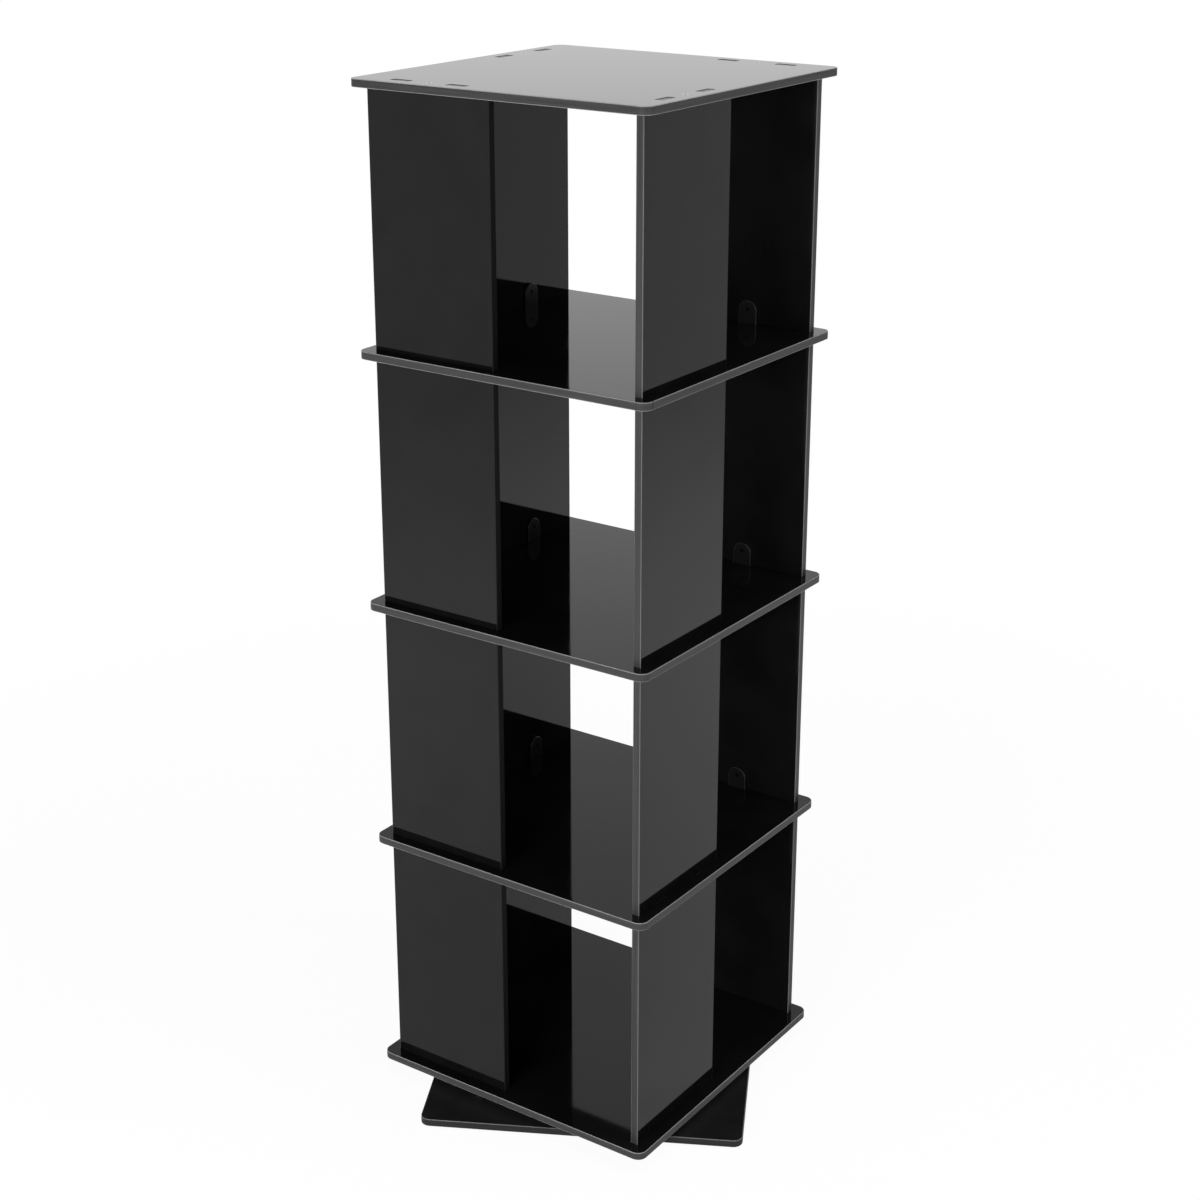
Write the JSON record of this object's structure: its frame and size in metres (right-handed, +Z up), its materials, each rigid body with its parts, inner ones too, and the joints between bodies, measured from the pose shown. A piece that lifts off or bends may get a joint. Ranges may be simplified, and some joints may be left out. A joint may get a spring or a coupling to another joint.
{
  "type": "rotating media tower",
  "caption": "Free-standing square tower of open shelves with pinwheel side panels, which turns on a flat ball bearing above a square base board.",
  "frame": {"origin": "on the floor, under the axis that the tower turns on", "axes": "+Z up along the turning axis; the front is -Y and the right side is +X, square to the tower's boards; the base board is drawn 28 degrees round"},
  "size_m": [0.5324, 0.5324, 1.2685],
  "materials": {
    "black_board": "high-gloss black laminate on fibreboard",
    "edge_strip": "glossy black edge strip",
    "ball_cage": "natural nylon",
    "bearing_ball": "polished steel",
    "plated_screw": "nickel-plated steel screw",
    "bearing_steel": "zinc-plated pressed steel",
    "foot_pad": "black rubber",
    "splice_plastic": "satin black moulded plastic",
    "black_screw": "black steel screw"
  },
  "bodies": {
    "base": {"base_board": "black_board", "base_board_edge_band": "edge_strip", "foot_pads": "foot_pad", "bearing_still_plate": "bearing_steel", "bearing_base_screws": "plated_screw"},
    "ball_ring": {"bearing_balls": "bearing_ball", "bearing_ball_cage": "ball_cage"},
    "tower": {"bearing_rivet": "bearing_steel", "bearing_tower_screws": "plated_screw", "bearing_turning_plate": "bearing_steel", "bottom_board": "black_board", "bottom_board_edge_band": "edge_strip", "bottom_board_screws": "plated_screw", "lower_shelf": "black_board", "lower_shelf_edge_band": "edge_strip", "lower_shelf_splice_back": "splice_plastic", "lower_shelf_splice_front": "splice_plastic", "lower_shelf_splice_left": "splice_plastic", "lower_shelf_splice_right": "splice_plastic", "lower_shelf_splice_screws": "black_screw", "middle_shelf": "black_board", "middle_shelf_edge_band": "edge_strip", "middle_shelf_splice_back": "splice_plastic", "middle_shelf_splice_front": "splice_plastic", "middle_shelf_splice_left": "splice_plastic", "middle_shelf_splice_right": "splice_plastic", "middle_shelf_splice_screws": "black_screw", "tier_1_panel_back": "black_board", "tier_1_panel_edge_bands": "edge_strip", "tier_1_panel_front": "black_board", "tier_1_panel_left": "black_board", "tier_1_panel_right": "black_board", "tier_2_panel_back": "black_board", "tier_2_panel_edge_bands": "edge_strip", "tier_2_panel_front": "black_board", "tier_2_panel_left": "black_board", "tier_2_panel_right": "black_board", "tier_3_panel_back": "black_board", "tier_3_panel_edge_bands": "edge_strip", "tier_3_panel_front": "black_board", "tier_3_panel_left": "black_board", "tier_3_panel_right": "black_board", "tier_4_panel_back": "black_board", "tier_4_panel_edge_bands": "edge_strip", "tier_4_panel_front": "black_board", "tier_4_panel_left": "black_board", "tier_4_panel_right": "black_board", "top_board": "black_board", "top_board_edge_band": "edge_strip", "top_board_screws": "plated_screw", "upper_shelf": "black_board", "upper_shelf_edge_band": "edge_strip", "upper_shelf_splice_back": "splice_plastic", "upper_shelf_splice_front": "splice_plastic", "upper_shelf_splice_left": "splice_plastic", "upper_shelf_splice_right": "splice_plastic", "upper_shelf_splice_screws": "black_screw"}
  },
  "joints": [
    {"name": "tower_spin", "type": "hinge", "parent": "base", "child": "tower", "pos_m": [0, 0, 0.01625], "axis": [0, 0, 1], "continuous": true},
    {"name": "ball_ring_spin", "type": "hinge", "parent": "base", "child": "ball_ring", "pos_m": [0, 0, 0.01625], "axis": [0, 0, 1], "continuous": true}
  ],
  "couplings": [
    {"joint": "ball_ring_spin", "follows": "tower_spin", "ratio": 0.5}
  ]
}
